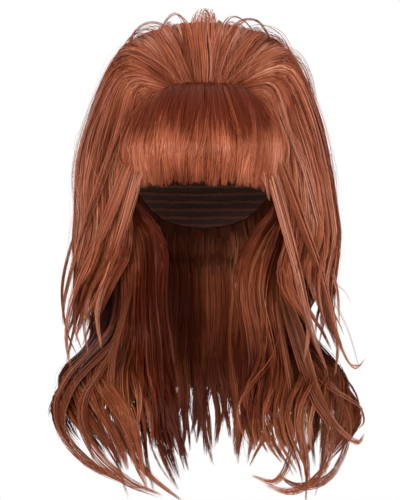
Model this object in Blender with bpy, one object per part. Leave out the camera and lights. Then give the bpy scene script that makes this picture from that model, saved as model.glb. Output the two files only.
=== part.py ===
"""Long bouffant wig: a hollow cap, a full fringe, a teased crown layer and a longer under layer.

The frame has its origin where the cap sits on the top of the head, +Z up and the face towards -Y.
Left and right are as seen from the front, so left is towards -X. Lengths are in metres.
"""

import math
from collections import namedtuple

import bmesh
import bpy
import numpy as np

# The head that the cap fits, as half of an ellipsoid over straight sides
HEAD_HALF_WIDTH = 0.076
HEAD_HALF_DEPTH = 0.096
HEAD_DOME = 0.105
CAP_WALL = 0.0015

# Clearances. SEAT_GAP is larger than it looks, because flat facets cut inside the round cap
SEAT_GAP = 0.0016
SECTION_GAP = 0.0006
LAYER_GAP = 0.0045

# How far the hair stands off the cap, and how far below the origin each level lies
SIDE_LOFT = 0.0505
BACK_LOFT = 0.0425
CROWN_RISE = 0.070
BULGE_DROP = 0.058
FRINGE_DROP = 0.100
WIDE_DROP = 0.085
JAW_DROP = 0.170
LAYER_DROP = 0.262
SHOULDER_DROP = 0.262
FLARE_DROP = 0.332
HAIR_DROP = 0.410

# The parting that the hair grows out from, an ellipse on the front of the crown
PARTING_BACK = -0.041
PARTING_HALF_WIDTH = 0.034
PARTING_HALF_DEPTH = 0.010
PARTING_LIFT = 0.013

# Thickness of the hair at the levels where it hangs free
FRINGE_THICKNESS = 0.008
LAYER_THICKNESS = 0.022
UNDER_THICKNESS = 0.015
TIP_THICKNESS = 0.003

# The under layer starts this far above the cap's rim and stands this far off it at the rim
UNDER_ROOT_RISE = 0.040
UNDER_ROOT_LOFT = 0.0035
UNDER_RIM_LOFT = 0.0095

# Locks: grooves between them, and how narrow their loose ends grow
GROOVE_DEPTH = 0.0035
TIP_WIDTH_SHARE = 0.16
WAVE_HEIGHT = 0.004
WAVE_LENGTH = 0.130
WAVE_START = 0.060

# How far along to its crest the hair has come, in plan and in height, where it leaves its roots
LIFT_SHARES = np.array([0.36, 0.36, 0.66])

HAIR_COLOUR = (0.30, 0.072, 0.028, 1.0)
UNDER_COLOUR = (0.16, 0.040, 0.018, 1.0)
CAP_COLOUR = (0.035, 0.018, 0.013, 1.0)

CAP_HALF_WIDTH = HEAD_HALF_WIDTH + CAP_WALL
CAP_HALF_DEPTH = HEAD_HALF_DEPTH + CAP_WALL
CAP_DOME = HEAD_DOME + CAP_WALL
HALF_WIDTH = CAP_HALF_WIDTH + SIDE_LOFT
HALF_DEPTH = CAP_HALF_DEPTH + BACK_LOFT

# The cap's rim: turn is degrees from the face, drop a share of the head's dome
RimPoint = namedtuple("RimPoint", "turn drop")
RIM = (
    RimPoint(0, 0.34),
    RimPoint(32, 0.45),
    RimPoint(60, 0.93),
    RimPoint(84, 0.85),
    RimPoint(112, 0.95),
    RimPoint(145, 1.24),
    RimPoint(180, 1.33),
)

# Turns are degrees from the face. Reaches are shares of HALF_WIDTH and HALF_DEPTH,
# a bend or crest rise is a share of CROWN_RISE, and drops are shares of the row's own drop
Fringe = namedtuple("Fringe", "root bend_turn bend_reach bend_rise bulge_turn bulge_reach tip_turn tip_reach tip_drop")
FRINGE_ROWS = (
    Fringe(-52, -50, 0.58, -0.12, -50, 0.82, -48, 0.765, 1.00),
    Fringe(-27, -27, 0.53, 0.01, -27, 0.83, -26, 0.755, 0.99),
    Fringe(0, 0, 0.50, 0.03, 0, 0.80, 0, 0.735, 0.98),
    Fringe(27, 27, 0.53, 0.01, 27, 0.83, 26, 0.755, 1.00),
    Fringe(52, 50, 0.58, -0.12, 50, 0.82, 48, 0.765, 1.10),
)

# The crown layer, from the left of the face round the back to the right of the face. A fullness
# of 0 is straight from the crest to the widest level, and 1 is a quarter of an ellipse
Layer = namedtuple(
    "Layer",
    "root crest_turn crest_reach crest_rise fullness wide_turn wide_reach "
    "jaw_turn jaw_reach tip_turn tip_reach tip_drop",
)
LAYER_ROWS = (
    Layer(-57, -56, 0.62, -0.02, 0.30, -53, 0.82, -56, 0.86, -66, 0.93, 0.94),
    Layer(-77, -73, 0.69, 0.26, 0.45, -72, 1.00, -73, 1.00, -78, 1.12, 1.00),
    Layer(-99, -93, 0.67, 0.56, 0.45, -95, 1.00, -96, 0.99, -98, 1.08, 0.94),
    Layer(-123, -113, 0.53, 0.85, 0.70, -120, 1.02, -120, 1.00, -118, 1.05, 1.00),
    Layer(-151, -136, 0.30, 0.98, 0.95, -149, 1.01, -149, 0.97, -148, 0.99, 1.02),
    Layer(180, 180, 0.14, 1.00, 1.00, 180, 1.00, 180, 0.94, 180, 0.96, 1.05),
    Layer(151, 136, 0.30, 0.98, 0.95, 149, 1.01, 149, 0.97, 148, 0.99, 1.02),
    Layer(123, 113, 0.53, 0.85, 0.70, 120, 1.02, 120, 1.00, 118, 1.03, 1.00),
    Layer(99, 93, 0.66, 0.56, 0.45, 95, 1.00, 96, 1.01, 98, 1.02, 0.92),
    Layer(77, 73, 0.68, 0.26, 0.45, 72, 0.99, 73, 1.02, 78, 1.05, 1.00),
    Layer(57, 56, 0.62, -0.02, 0.30, 53, 0.82, 53, 0.83, 64, 0.91, 0.94),
)

# The under layer. A fill is a share of the room inside the crown layer at that turn
Under = namedtuple(
    "Under",
    "root jaw_turn jaw_fill shoulder_turn shoulder_fill flare_turn flare_reach hem_turn hem_reach hem_drop",
)
UNDER_LEFT_ROWS = (
    Under(-57, -50, 0.78, -41, 0.66, -24, 0.64, -10, 0.70, 0.99),
    Under(-74, -68, 0.90, -64, 0.84, -54, 0.90, -37, 0.84, 1.00),
    Under(-96, -96, 0.96, -94, 0.95, -93, 1.25, -92, 0.94, 0.93),
)
UNDER_BACK_ROWS = (
    Under(-103, -103, 0.96, -102, 0.95, -101, 1.21, -101, 0.95, 0.94),
    Under(-138, -140, 0.96, -145, 0.93, -148, 0.95, -150, 0.95, 0.98),
    Under(180, 180, 0.96, 180, 0.93, 180, 0.88, 180, 0.90, 1.00),
    Under(138, 140, 0.96, 145, 0.93, 148, 0.95, 150, 0.95, 0.98),
    Under(103, 103, 0.96, 102, 0.95, 101, 1.22, 101, 0.98, 0.94),
)
UNDER_RIGHT_ROWS = (
    Under(96, 96, 0.96, 94, 0.95, 93, 1.27, 92, 1.00, 0.93),
    Under(74, 68, 0.90, 63, 0.84, 56, 0.92, 50, 0.98, 1.00),
    Under(57, 50, 0.78, 39, 0.64, 35, 0.70, 40, 0.80, 0.95),
)

# How each layer is cut into locks along its length
Cut = namedtuple("Cut", "stations split_at shortest")
FRINGE_CUT = Cut(stations=11, split_at=0.90, shortest=0.98)
LAYER_CUT = Cut(stations=15, split_at=0.78, shortest=0.91)
UNDER_CUT = Cut(stations=13, split_at=0.66, shortest=0.88)
FRINGE_LOCKS = 12
SECTION_LOCKS = 4

# One lock's section: the points across its outer face, from one groove to the next
LOCK_PROFILE = (0.0, 1.0, 1.0, 0.0)


def curve_weights(at, count):
    """Weights of count control points at each parameter, for a Catmull-Rom curve through them."""
    at = np.asarray(at, float).ravel()
    start = np.clip(np.floor(at).astype(int), 0, count - 2)
    t = at - start
    parts = (
        (-t + 2 * t**2 - t**3) / 2,
        (2 - 5 * t**2 + 3 * t**3) / 2,
        (t + 4 * t**2 - 3 * t**3) / 2,
        (-(t**2) + t**3) / 2,
    )
    weights = np.zeros((len(at), count))
    rows = np.arange(len(at))
    for shift, part in zip((-1, 0, 1, 2), parts):
        index = start + shift
        before, after = index < 0, index > count - 1
        inside = ~(before | after)
        weights[rows[inside], index[inside]] += part[inside]
        weights[rows[before], 0] += 2 * part[before]
        weights[rows[before], 1] -= part[before]
        weights[rows[after], count - 1] += 2 * part[after]
        weights[rows[after], count - 2] -= part[after]
    return weights


def plan(turn, reach):
    """The point in plan at a turn from the face, at a share of the hair's half width and depth."""
    angle = math.radians(turn)
    return np.array([reach * HALF_WIDTH * math.sin(angle), -reach * HALF_DEPTH * math.cos(angle)])


def rim_height(turn):
    """How high the cap's rim lies at each turn, smoothed between the rows of RIM."""
    turn = np.abs(np.asarray(turn, float))
    turns = [point.turn for point in RIM]
    drops = np.array([point.drop for point in RIM])
    at = np.interp(turn, turns, range(len(RIM)))
    return -HEAD_DOME * (curve_weights(at, len(RIM)) @ drops).reshape(turn.shape)


def turn_of(points):
    """The turn from the face of each point, on the ellipse of the head."""
    across = points[..., 0] / HEAD_HALF_WIDTH
    forward = -points[..., 1] / HEAD_HALF_DEPTH
    return np.degrees(np.arctan2(across, forward))


def cap_point(turn, height, loft):
    """The point at that height on the head's side, loft outside the cap."""
    angle = math.radians(turn)
    polar_cosine = np.clip((height + HEAD_DOME) / (CAP_DOME + loft), -1, 1)
    girth = math.sqrt(1 - polar_cosine**2)
    return np.array(
        [
            (CAP_HALF_WIDTH + loft) * girth * math.sin(angle),
            -(CAP_HALF_DEPTH + loft) * girth * math.cos(angle),
            height,
        ]
    )


def cap_top(x, y, loft):
    """The height of the cap's upper side over a point in plan, loft above it."""
    spread = (x / (CAP_HALF_WIDTH + loft)) ** 2 + (y / (CAP_HALF_DEPTH + loft)) ** 2
    return -HEAD_DOME + (CAP_DOME + loft) * math.sqrt(1 - spread)


def parting_point(root):
    """Where a guide leaves the parting, at a turn round its ellipse."""
    angle = math.radians(root)
    x = PARTING_HALF_WIDTH * math.sin(angle)
    y = PARTING_BACK - PARTING_HALF_DEPTH * math.cos(angle)
    return np.array([x, y, cap_top(x, y, PARTING_LIFT)])


def fringe_guide(row):
    """A fringe guide: parting, bend over the forehead, bulge and tip."""
    return np.array(
        [
            parting_point(row.root),
            [*plan(row.bend_turn, row.bend_reach), row.bend_rise * CROWN_RISE],
            [*plan(row.bulge_turn, row.bulge_reach), -BULGE_DROP],
            [*plan(row.tip_turn, row.tip_reach), -row.tip_drop * FRINGE_DROP],
        ]
    )


def layer_guide(row):
    """A crown guide: parting, lift, crest, turn-over, widest level, jaw and tip."""
    root = parting_point(row.root)
    crest = np.array([*plan(row.crest_turn, row.crest_reach), row.crest_rise * CROWN_RISE])
    wide = np.array([*plan(row.wide_turn, row.wide_reach), -WIDE_DROP])
    lift = root + (crest - root) * LIFT_SHARES
    quarter = math.sqrt(0.5)
    round_point = np.append(crest[:2] + (wide - crest)[:2] * quarter, wide[2] + (crest - wide)[2] * quarter)
    straight_point = (crest + wide) / 2
    return np.array(
        [
            root,
            lift,
            crest,
            straight_point + (round_point - straight_point) * row.fullness,
            wide,
            [*plan(row.jaw_turn, row.jaw_reach), -JAW_DROP],
            [*plan(row.tip_turn, row.tip_reach), -row.tip_drop * LAYER_DROP],
        ]
    )


def layer_thickness(height):
    """How thick the crown layer may be: down to the cap above, thinner where it hangs free."""
    heights = (-LAYER_DROP, -JAW_DROP, -WIDE_DROP, 0)
    clear_of_under = SIDE_LOFT - UNDER_RIM_LOFT - LAYER_GAP
    limits = (LAYER_THICKNESS / 3, LAYER_THICKNESS, clear_of_under, CROWN_RISE + CAP_DOME)
    return np.interp(height, heights, limits)


def room_reach(turn, height):
    """The reach of the room inside the crown layer, at a turn and a height below the widest level."""
    rows = sorted((row for row in LAYER_ROWS if row.root * turn >= 0), key=lambda row: abs(row.root))
    levels = (
        (-LAYER_DROP, [abs(r.tip_turn) for r in rows], [r.tip_reach for r in rows]),
        (-JAW_DROP, [abs(r.jaw_turn) for r in rows], [r.jaw_reach for r in rows]),
        (-WIDE_DROP, [abs(r.wide_turn) for r in rows], [r.wide_reach for r in rows]),
    )
    reaches = [np.interp(abs(turn), turns, shares) for _, turns, shares in levels]
    outer = np.interp(height, [level for level, _, _ in levels], reaches)
    return outer - (layer_thickness(height) + LAYER_GAP) / HALF_WIDTH


def under_guide(row):
    """An under guide: two points on the cap's side, then jaw, shoulder, flare and hem."""
    rim = float(rim_height(row.root))
    jaw_reach = row.jaw_fill * room_reach(row.jaw_turn, -JAW_DROP)
    shoulder_reach = row.shoulder_fill * room_reach(row.shoulder_turn, -SHOULDER_DROP)
    return np.array(
        [
            cap_point(row.root, rim + UNDER_ROOT_RISE, UNDER_ROOT_LOFT),
            cap_point(row.root, rim, UNDER_RIM_LOFT),
            [*plan(row.jaw_turn, jaw_reach), -JAW_DROP],
            [*plan(row.shoulder_turn, shoulder_reach), -SHOULDER_DROP],
            [*plan(row.flare_turn, row.flare_reach), -FLARE_DROP],
            [*plan(row.hem_turn, row.hem_reach), -row.hem_drop * HAIR_DROP],
        ]
    )


def axis_points(points):
    """For each point the place inside the head that its hair points away from."""
    axis = np.zeros_like(points)
    axis[:, 2] = np.minimum(points[:, 2], -HEAD_DOME)
    return axis


def outward(points):
    """Unit directions away from the head's middle, level below its widest part."""
    away = points - axis_points(points)
    return away / np.linalg.norm(away, axis=1, keepdims=True)


def depth_to_cap(points, loft):
    """How deep each point lies outside the cap's surface raised by loft, along its outward line."""
    away = points - axis_points(points)
    loft = np.broadcast_to(loft, len(points))
    half_sizes = np.stack([CAP_HALF_WIDTH + loft, CAP_HALF_DEPTH + loft, CAP_DOME + loft], axis=1)
    share = 1 / np.sqrt(((away / half_sizes) ** 2).sum(axis=1))
    return np.linalg.norm(away, axis=1) * (1 - share)


def height_above_rim(points):
    return points[:, 2] - rim_height(turn_of(points))


def under_loft(points):
    """How far the under layer's outer face stands off the cap near its rim."""
    return np.interp(height_above_rim(points), (0, UNDER_ROOT_RISE), (UNDER_RIM_LOFT, UNDER_ROOT_LOFT))


def pressed_to_cap(points):
    """The under layer's outer points, set at their loft off the cap above its rim."""
    off = depth_to_cap(points, under_loft(points))
    near_cap = np.interp(height_above_rim(points), (-UNDER_ROOT_RISE, 0), (0, 1))
    return points - outward(points) * (off * near_cap)[:, None]


def layer_floor(points):
    """The loft that the crown layer's inner face keeps, over the cap or over the under layer."""
    above_rim = height_above_rim(points)
    bare = np.interp(above_rim, (UNDER_ROOT_RISE, 1.6 * UNDER_ROOT_RISE), (1, 0))
    return SEAT_GAP + under_loft(points) * bare


def wave(points):
    """The soft wave of the hanging hair, the same for every layer at one place."""
    below = np.clip(-height_above_rim(points) / WAVE_START, 0, 1)
    phase = np.radians(2 * turn_of(points))
    swing = np.sin(2 * np.pi * points[:, 2] / WAVE_LENGTH + phase)
    return outward(points) * (WAVE_HEIGHT * below * swing)[:, None]


def fringe_depth(points):
    """The fringe's thickness: down to the cap behind the parting, free below the cap's rim."""
    limits = np.interp(-points[:, 2], (0, BULGE_DROP, FRINGE_DROP), (0.03, FRINGE_THICKNESS, TIP_THICKNESS))
    return np.minimum(depth_to_cap(points, SEAT_GAP), limits)


def layer_depth(points):
    """The crown layer's thickness: down to the cap and, lower, to the under layer's roots."""
    first_depth = depth_to_cap(points, layer_floor(points))
    landing = points - outward(points) * first_depth[:, None]
    return np.minimum(depth_to_cap(points, layer_floor(landing)), layer_thickness(points[:, 2]))


def under_depth(points):
    """The under layer's thickness: down to the cap at its roots, free below the rim."""
    below_rim = -height_above_rim(points)
    free = np.interp(below_rim, (0, 2 * UNDER_ROOT_RISE), (UNDER_RIM_LOFT - SEAT_GAP, UNDER_THICKNESS))
    tips = np.interp(points[:, 2], (-HAIR_DROP, -FLARE_DROP), (TIP_THICKNESS, UNDER_THICKNESS))
    seated = np.where(below_rim < UNDER_ROOT_RISE, depth_to_cap(points, SEAT_GAP), UNDER_THICKNESS)
    return np.minimum(np.minimum(free, tips), seated)


class Hair:
    """A layer of hair: guides from its roots to its tips, and a thickness inwards from them."""

    def __init__(self, guides, depth, cut, pressed=False):
        self.guides = np.array(guides)
        self.depth = depth
        self.cut = cut
        self.pressed = pressed
        rows, knots = self.guides.shape[:2]
        self.steps = np.linspace(0, knots - 1, 20 * knots)
        weights = curve_weights(self.steps, knots)
        paths = np.einsum("rsc,ns->rnc", self.guides, weights)
        travelled = np.linalg.norm(np.diff(paths, axis=1), axis=2).mean(axis=0).cumsum()
        self.travelled = np.append(0, travelled) / travelled[-1]

    def surface(self, across, along):
        """Points of the layer's outer face, at rows across it and shares of the guides' length."""
        rows, knots = self.guides.shape[:2]
        across_weights = curve_weights(across, rows)
        along_weights = curve_weights(np.interp(along, self.travelled, self.steps), knots)
        points = np.einsum("nr,rsc,ns->nc", across_weights, self.guides, along_weights)
        return pressed_to_cap(points) if self.pressed else points

    def points(self, across, along, groove, inner):
        """Outer points, sunk by a share of the groove's depth, or the inner points behind them."""
        smooth = self.surface(across, along)
        depth = np.where(inner, self.depth(smooth), GROOVE_DEPTH * groove)
        return smooth - outward(smooth) * depth[:, None] + wave(smooth)

    def width(self, first, along):
        """The distance between two neighbouring guides at each share along them."""
        left = self.surface(np.full(len(along), first), along)
        right = self.surface(np.full(len(along), first + 1), along)
        return np.linalg.norm(right - left, axis=1)


def unevenness(lock):
    """A fixed value between -1 and 1 that differs from lock to lock."""
    return math.sin(2.4 * lock + 0.7 * math.sin(5.1 * lock))


class SectionMesh:
    """The closed mesh of one section: locks side by side, joined above and parted at their ends."""

    def __init__(self, hair, first, span, locks):
        self.hair = hair
        self.first = first
        self.span = span
        self.locks = locks
        cut = hair.cut
        self.last_station = cut.stations - 1
        self.split = round(cut.split_at * self.last_station)
        levels = np.linspace(0, 1, cut.stations)
        self.margins = np.minimum(0.5 * SECTION_GAP / hair.width(first, levels), 0.2)
        self.index = {}
        self.placed = []
        self.faces = []

    def along(self, lock, station):
        """The share along the guides: locks of a section part at the split and end unevenly."""
        level = station / self.last_station
        if station <= self.split:
            return level
        start = self.split / self.last_station
        shortest = self.hair.cut.shortest
        end = (1 + shortest + (1 - shortest) * unevenness(lock + 7 * self.first)) / 2
        return start + (end - start) * (level - start) / (1 - start)

    def corner(self, lock, column, station, inner):
        """The index of a point of a lock's section, shared with the next lock above the split."""
        last_column = len(LOCK_PROFILE) - 1
        if station <= self.split and column == last_column and lock < self.locks - 1:
            return self.corner(lock + 1, 0, station, inner)
        key = (lock, column, station, inner)
        if key not in self.index:
            past = max(0, station - self.split) / (self.last_station - self.split)
            narrowing = 1 - (1 - TIP_WIDTH_SHARE) * past**1.4
            sway = 0.22 * past * unevenness(3 * lock + self.first)
            place = lock + 0.5 + (column / last_column - 0.5) * narrowing + sway
            margin = self.margins[station]
            across = self.first + margin + (self.span - 2 * margin) * place / self.locks
            groove = (1 - LOCK_PROFILE[column]) * min(1, station / 2)
            self.index[key] = len(self.placed)
            self.placed.append((across, self.along(lock, station), groove, inner))
        return self.index[key]

    def strip(self, lock, from_corner, to_corner, station, turned=False):
        """Two triangles between two corners of a lock's section, from one station to the next.

        A turned strip has its other diagonal, so that facing walls of two sections match.
        """
        near = [self.corner(lock, column, station, inner) for column, inner in (from_corner, to_corner)]
        far = [self.corner(lock, column, station + 1, inner) for column, inner in (from_corner, to_corner)]
        if turned:
            self.faces += [(near[0], near[1], far[0]), (near[1], far[1], far[0])]
        else:
            self.faces += [(near[0], near[1], far[1]), (near[0], far[1], far[0])]

    def build(self, name, material):
        last_column = len(LOCK_PROFILE) - 1
        for lock in range(self.locks):
            for station in range(self.last_station):
                for column in range(last_column):
                    self.strip(lock, (column, False), (column + 1, False), station)
                self.strip(lock, (last_column, True), (0, True), station)
                if station >= self.split or lock == 0:
                    self.strip(lock, (0, True), (0, False), station, turned=True)
                if station >= self.split or lock == self.locks - 1:
                    self.strip(lock, (last_column, False), (last_column, True), station)
            for station in (0, self.last_station):
                ring = [self.corner(lock, column, station, False) for column in range(last_column + 1)]
                ring += [self.corner(lock, last_column, station, True), self.corner(lock, 0, station, True)]
                self.faces.append(tuple(ring))
        across, along, groove, inner = (np.array(values) for values in zip(*self.placed))
        return solid(name, self.hair.points(across, along, groove, inner), self.faces, material)


def solid(name, points, faces, material):
    """An object from points and faces, with its faces turned outwards."""
    mesh = bpy.data.meshes.new(name)
    mesh.from_pydata([tuple(point) for point in points], [], faces)
    shape = bmesh.new()
    shape.from_mesh(mesh)
    bmesh.ops.recalc_face_normals(shape, faces=shape.faces)
    bmesh.ops.triangulate(shape, faces=shape.faces)
    shape.to_mesh(mesh)
    shape.free()
    mesh.materials.append(material)
    mesh.shade_smooth()
    mesh.set_sharp_from_angle(angle=math.radians(50))
    obj = bpy.data.objects.new(name, mesh)
    bpy.context.scene.collection.objects.link(obj)
    return obj


def finish_material(name, colour, roughness):
    material = bpy.data.materials.new(name)
    material.use_nodes = True
    shader = material.node_tree.nodes["Principled BSDF"]
    shader.inputs["Base Color"].default_value = colour
    shader.inputs["Roughness"].default_value = roughness
    shader.inputs["Metallic"].default_value = 0.0
    return material


def build_cap(material, turns=30, rings=8):
    """The hollow cap: an outer and an inner dome joined at the rim, low at the nape and before the ears."""
    points, faces = [], []
    for wall in (CAP_WALL, 0):
        first = len(points)
        points.append((0, 0, wall))
        for ring in range(1, rings + 1):
            for step in range(turns):
                turn = 360 * step / turns
                rim = float(rim_height(min(turn, 360 - turn)))
                polar = math.acos((rim + HEAD_DOME) / HEAD_DOME) * ring / rings
                angle = math.radians(turn)
                points.append(
                    (
                        (HEAD_HALF_WIDTH + wall) * math.sin(polar) * math.sin(angle),
                        -(HEAD_HALF_DEPTH + wall) * math.sin(polar) * math.cos(angle),
                        -HEAD_DOME + (HEAD_DOME + wall) * math.cos(polar),
                    )
                )
        for step in range(turns):
            following = (step + 1) % turns
            faces.append((first, first + 1 + step, first + 1 + following))
            for ring in range(rings - 1):
                upper, lower = first + 1 + ring * turns, first + 1 + (ring + 1) * turns
                faces.append((upper + step, lower + step, lower + following, upper + following))
    outer_rim, inner_rim = 1 + (rings - 1) * turns, len(points) - turns
    for step in range(turns):
        following = (step + 1) % turns
        faces.append(
            (outer_rim + step, inner_rim + step, inner_rim + following, outer_rim + following)
        )
    return solid("cap", points, faces, material)


def build_sections(hair, names, locks, material):
    """One object for each section between neighbouring guides, in the order of the names."""
    for first, name in enumerate(names):
        SectionMesh(hair, first, 1, locks).build(name, material)


def main():
    for old in list(bpy.data.objects):
        bpy.data.objects.remove(old)
    hair_finish = finish_material("hair", HAIR_COLOUR, 0.42)
    under_finish = finish_material("under_hair", UNDER_COLOUR, 0.48)
    cap_finish = finish_material("cap_net", CAP_COLOUR, 0.85)

    build_cap(cap_finish)
    fringe = Hair([fringe_guide(row) for row in FRINGE_ROWS], fringe_depth, FRINGE_CUT)
    SectionMesh(fringe, 0, len(FRINGE_ROWS) - 1, FRINGE_LOCKS).build("fringe", hair_finish)

    layer = Hair([layer_guide(row) for row in LAYER_ROWS], layer_depth, LAYER_CUT)
    places = ("wing", "side", "crown_side", "crown_back", "back")
    names = [f"{place}_layer_left" for place in places]
    names += [f"{place}_layer_right" for place in reversed(places)]
    build_sections(layer, names, SECTION_LOCKS, hair_finish)

    for rows, names in (
        (UNDER_LEFT_ROWS, ("chest_length_left", "shoulder_length_left")),
        (UNDER_BACK_ROWS, ("nape_side_left", "nape_left", "nape_right", "nape_side_right")),
        (UNDER_RIGHT_ROWS, ("shoulder_length_right", "chest_length_right")),
    ):
        under = Hair([under_guide(row) for row in rows], under_depth, UNDER_CUT, pressed=True)
        build_sections(under, names, SECTION_LOCKS, under_finish)


main()
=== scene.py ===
import math
from collections import namedtuple

import bpy
import numpy as np
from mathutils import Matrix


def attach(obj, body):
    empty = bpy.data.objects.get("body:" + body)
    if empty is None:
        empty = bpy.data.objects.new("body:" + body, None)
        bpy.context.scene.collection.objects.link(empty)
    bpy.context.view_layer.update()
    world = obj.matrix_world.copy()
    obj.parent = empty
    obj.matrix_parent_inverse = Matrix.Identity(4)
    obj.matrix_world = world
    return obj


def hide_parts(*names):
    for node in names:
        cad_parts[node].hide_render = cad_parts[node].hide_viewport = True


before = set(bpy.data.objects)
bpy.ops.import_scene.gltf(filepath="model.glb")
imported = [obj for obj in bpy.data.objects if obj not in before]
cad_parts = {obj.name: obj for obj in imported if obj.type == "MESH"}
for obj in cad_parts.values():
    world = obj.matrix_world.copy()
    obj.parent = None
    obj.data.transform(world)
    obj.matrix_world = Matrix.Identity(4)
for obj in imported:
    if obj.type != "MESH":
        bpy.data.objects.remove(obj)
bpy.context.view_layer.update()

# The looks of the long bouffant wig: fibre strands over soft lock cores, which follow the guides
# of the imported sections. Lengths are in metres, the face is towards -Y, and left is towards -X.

MM = 0.001

# The cap and the levels of the hair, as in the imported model
HEAD_HALF_WIDTH = 0.076
HEAD_HALF_DEPTH = 0.096
HEAD_DOME = 0.105
CAP_WALL = 0.0015
SEAT_GAP = 0.0016
LAYER_GAP = 0.0045
SIDE_LOFT = 0.0505
BACK_LOFT = 0.0425
CROWN_RISE = 0.070
BULGE_DROP = 0.058
FRINGE_DROP = 0.100
WIDE_DROP = 0.085
JAW_DROP = 0.170
LAYER_DROP = 0.262
SHOULDER_DROP = 0.262
FLARE_DROP = 0.332
HAIR_DROP = 0.410
PARTING_BACK = -0.041
PARTING_HALF_WIDTH = 0.034
PARTING_HALF_DEPTH = 0.010
PARTING_LIFT = 0.013
FRINGE_THICKNESS = 0.008
LAYER_THICKNESS = 0.022
UNDER_THICKNESS = 0.015
TIP_THICKNESS = 0.003
UNDER_ROOT_RISE = 0.040
UNDER_ROOT_LOFT = 0.0035
UNDER_RIM_LOFT = 0.0095
GROOVE_DEPTH = 0.0035
TIP_WIDTH_SHARE = 0.16
WAVE_HEIGHT = 0.004
WAVE_LENGTH = 0.130
WAVE_START = 0.060
LIFT_SHARES = np.array([0.36, 0.36, 0.66])

CAP_HALF_WIDTH = HEAD_HALF_WIDTH + CAP_WALL
CAP_HALF_DEPTH = HEAD_HALF_DEPTH + CAP_WALL
CAP_DOME = HEAD_DOME + CAP_WALL
HALF_WIDTH = CAP_HALF_WIDTH + SIDE_LOFT
HALF_DEPTH = CAP_HALF_DEPTH + BACK_LOFT

# The strands lie in a shell this deep over the cores, which end at these shares of their locks.
# Each section draws its strands' random values from a seed of its own.
SHELL_DEPTH = 0.0045
CORE_COLUMNS = 7
CORE_STATIONS = 34
CORE_ENDS = {"fringe": 0.91, "hair": 0.86, "under_hair": 0.74}
# The cores' tone is below the strands' middle tone: painted shade for the hair deep in a lock
CORE_TONE = 0.40
FRINGE_SEED = 11
LAYER_SEED = 20

# Roots run in to the parting over a length, scattered over it and a little above the cap
PULL_LENGTH = 0.036
ROOT_SCATTER = 0.004
ROOT_LOFT = 0.0025

# A loose lock's strands, its swing and its root, which is tucked into the hair
LOOSE_STEPS = 22
LOOSE_WIDTH = 0.0006
LOOSE_SWING = 0.0008
LOOSE_TUCK = 0.011
LOOSE_TUCK_SHARE = 0.22

# The least and most of a strand's width, as shares, and how far it rolls about its path
WIDTH_SHARES = (0.7, 1.15)
ROLL_SPREAD = 0.45

# The hanging hair: its puff low down, its broad sideways wave, and its tips' sweep and sway
PUFF_DROP = 0.285
PUFF_REACH = 0.022
S_WAVE = 0.012
S_WAVE_LENGTH = 0.150
S_WAVE_DROP = 0.05
S_WAVE_FADE = 0.12
S_WAVE_SIDE = 0.05
# The broad wave's crests are lighter and its troughs darker: a painted highlight and painted shade
CREST_LIGHT_AND_SHADE = 0.09
SWEEP_START = 0.62
SWEEP_SHARE = 0.42
TIP_SWAY = 0.22

# Linear colours of the fibre by tone, its shine, its patches and fine lines, and the layers' tints.
# The palest colour is paled as a painted sheen. The cores' and the under hair's tints are darker
# copies, painted shade; the under hair's is also a little warmer
FIBRE_COLOURS = (
    (0.18, (0.075, 0.0105, 0.0028)),
    (0.52, (0.28, 0.074, 0.034)),
    (0.92, (0.58, 0.275, 0.185)),
)
SHINE = {"Specular IOR Level": 0.07, "Anisotropic": 0.6}
PATCH_SCALE = 22.0
PATCH_TONE = 0.30
FIBRE_SCALE = (3.0, 60.0, 1.0)
FIBRE_TONE = 0.16
HAIR_TINT = (1.0, 1.0, 1.0)
CORE_SHADE_TINT = (0.55, 0.53, 0.50)
UNDER_SHADE_TINT = (0.66, 0.59, 0.49)
UNDER_CORE_SHADE_TINT = (0.30, 0.27, 0.22)

# The cap's net and its rows of wefts
NET_DARK = (0.010, 0.004, 0.003)
NET_LIGHT = (0.060, 0.021, 0.012)
WEFT_COLOUR = (0.125, 0.034, 0.014)
THREAD_BANDS = 230.0
WEFT_BANDS = 38.0

# Tones along the hair from its roots to its tips, as pairs of level and tone. The fringe's are painted
# shade at its roots by the parting and a painted highlight band above its hem; the under hair's are
# painted shade below the crown layer's tips and a painted highlight at its tips
FRINGE_TONES = ((0, -0.34), (0.15, -0.48), (0.38, -0.45), (0.55, -0.32), (0.70, -0.05), (1.0, -0.16))
UNDER_TONES = ((0.3, -0.01), (0.62, -0.11), (0.85, 0.0), (1.0, 0.13))
MIDDLE_TONE = 0.5
STRAND_TONE_SPREAD = 0.07
# Painted shade on the strands that lie deeper in the shell, and more on the under layer's inner face
INWARD_SHADE = 0.12
INSIDE_SHADE = 0.15

# The roots' tone on the crown, a painted highlight, and in the sections beside the face, painted shade
ROOT_TONE = 0.07
ROOT_TONES = {"wing": -0.17, "side": -0.08}

# The stage, seen from the front. A light has a name, its width, its power and its place.
CAMERA_PLACE = (-0.0045, -2.05, -0.163)
CAMERA_LENS = 144.0
CAMERA_SENSOR = 36.0
FLOOR_DROP = 1.15
FLOOR_REACH = 4.0
LIGHT_TARGET = (0.0, 0.0, -0.15)
LIGHTS = (
    ("key", 0.9, 50.0, (-0.8, -2.0, 0.5)),
    ("fill", 1.2, 28.0, (1.5, -1.7, 0.3)),
    ("top", 0.8, 6.0, (0.0, 0.2, 1.5)),
    ("rim_left", 0.6, 12.0, (-1.4, 1.2, 0.5)),
    ("rim_right", 0.6, 12.0, (1.4, 1.2, 0.5)),
)

# The cap's rim: how low it lies at each turn from the face
RIM_TURNS = (0, 32, 60, 84, 112, 145, 180)
RIM_DROPS = (0.34, 0.45, 0.93, 0.85, 0.95, 1.24, 1.33)

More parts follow.
